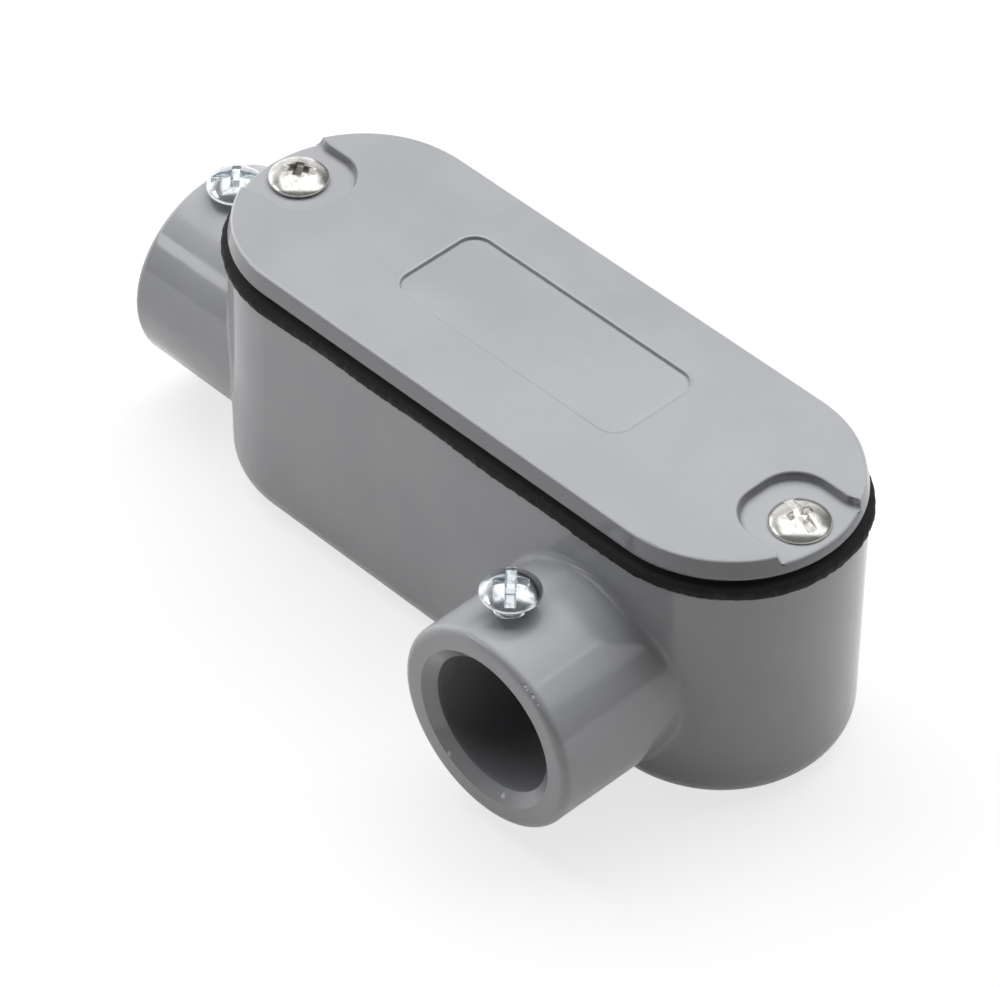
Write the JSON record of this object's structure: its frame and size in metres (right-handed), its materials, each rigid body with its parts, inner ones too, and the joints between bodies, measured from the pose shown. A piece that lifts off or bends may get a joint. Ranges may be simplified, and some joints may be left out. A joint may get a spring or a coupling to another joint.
{
  "type": "conduit body",
  "caption": "Cast set-screw conduit body with one end hub, one side hub and a screwed, gasketed cover over a wiring chamber.",
  "frame": {"origin": "middle of the housing's flat back, which the part rests on", "axes": "+X along the housing away from the end hub, -Y out of the side hub, +Z from the back to the cover"},
  "size_m": [0.1082, 0.0515, 0.0405],
  "materials": {
    "grey_paint": "cool grey enamel baked on cast aluminium, satin",
    "black_rubber": "black closed-cell foam rubber, matt, cut edge",
    "bright_steel": "bright nickel-like plating, polished",
    "zinc_steel": "clear bluish zinc plating, polished"
  },
  "bodies": {
    "housing": {"housing": "grey_paint", "gasket": "black_rubber"},
    "cover": {"cover": "grey_paint"},
    "near_cover_screw": {"near_cover_screw": "bright_steel"},
    "far_cover_screw": {"far_cover_screw": "bright_steel"},
    "side_set_screw": {"side_set_screw": "zinc_steel"},
    "end_set_screw": {"end_set_screw": "zinc_steel"}
  },
  "joints": [
    {"name": "cover_lift", "type": "slide", "parent": "housing", "child": "cover", "axis": [0, 0, 1], "range_m": [0, 0.03]},
    {"name": "near_cover_screw_travel", "type": "slide", "parent": "cover", "child": "near_cover_screw", "axis": [0, 0, 1], "range_m": [0, 0.012]},
    {"name": "far_cover_screw_travel", "type": "slide", "parent": "cover", "child": "far_cover_screw", "axis": [0, 0, 1], "range_m": [0, 0.012]},
    {"name": "side_set_screw_travel", "type": "slide", "parent": "housing", "child": "side_set_screw", "axis": [0, 0, 1], "range_m": [-0.0021, 0.0024]},
    {"name": "end_set_screw_travel", "type": "slide", "parent": "housing", "child": "end_set_screw", "axis": [0, 0, 1], "range_m": [-0.0005, 0.0043]}
  ]
}
